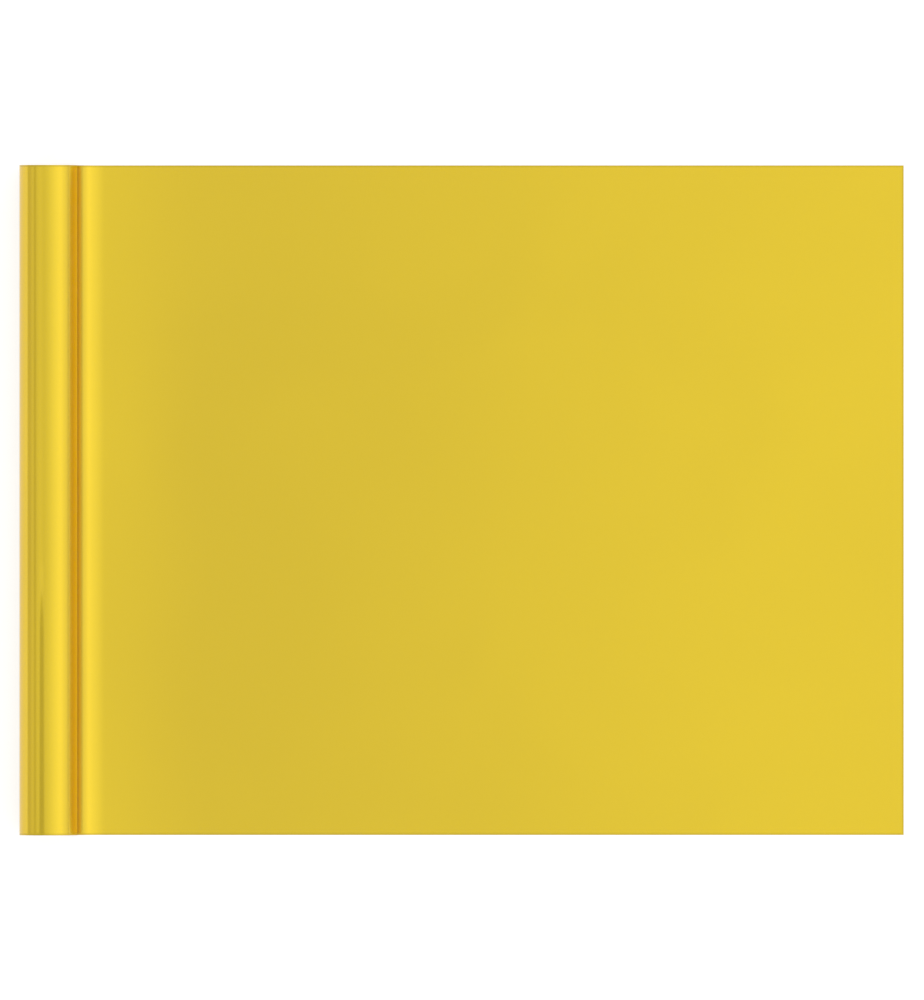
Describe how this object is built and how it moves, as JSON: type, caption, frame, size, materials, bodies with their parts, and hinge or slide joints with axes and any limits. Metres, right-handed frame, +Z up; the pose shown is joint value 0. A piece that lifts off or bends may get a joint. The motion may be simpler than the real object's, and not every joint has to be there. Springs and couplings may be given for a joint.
{
  "type": "roll of sign vinyl",
  "caption": "Roll of mirror-gold self-adhesive film on its liner and paperboard core, with a length drawn off the roll and lying flat.",
  "frame": {"origin": "on the core's axis, at the middle of its length", "axes": "+Y along the core, +X the way the web is drawn off, +Z up; the roll and the web lie on z = -0.053"},
  "size_m": [1.611, 1.22, 0.106],
  "materials": {
    "film": "metallised mirror-gold polyester film, glossy",
    "liner": "siliconed white paper, satin",
    "adhesive": "clear tacky adhesive over silver metallising",
    "paperboard": "spiral-wound brown kraft board",
    "tape": "creped masking tape"
  },
  "bodies": {
    "draw_off": {"bend_liner": "liner", "bend_adhesive": "adhesive", "bend_film": "film", "upper_run_out_liner": "liner", "upper_run_out_adhesive": "adhesive", "upper_run_out_film": "film", "middle_run_out_liner": "liner", "middle_run_out_adhesive": "adhesive", "middle_run_out_film": "film", "lower_run_out_liner": "liner", "lower_run_out_adhesive": "adhesive", "lower_run_out_film": "film"},
    "roll": {"core_tube": "paperboard", "start_tape": "tape", "wound_liner": "liner", "wound_film": "film", "outer_film_turns": "film"},
    "laid_sheet": {"laid_liner": "liner", "laid_adhesive": "adhesive", "laid_film": "film"},
    "peel_end": {"end_adhesive": "adhesive", "end_film": "film"}
  },
  "joints": [
    {"name": "roll_spin", "type": "hinge", "parent": "draw_off", "child": "roll", "pos_m": [0, 0, 0], "axis": [0, 1, 0], "range_deg": [0, 360]},
    {"name": "sheet_feed", "type": "slide", "parent": "draw_off", "child": "laid_sheet", "axis": [1, 0, 0], "range_m": [0, 0.3331]},
    {"name": "film_peel", "type": "hinge", "parent": "laid_sheet", "child": "peel_end", "pos_m": [1.498, 0, -0.05278], "axis": [0, -1, 0], "range_deg": [0, 150]}
  ],
  "couplings": [
    {"joint": "sheet_feed", "follows": "roll_spin", "m_per_rad": 0.053}
  ]
}
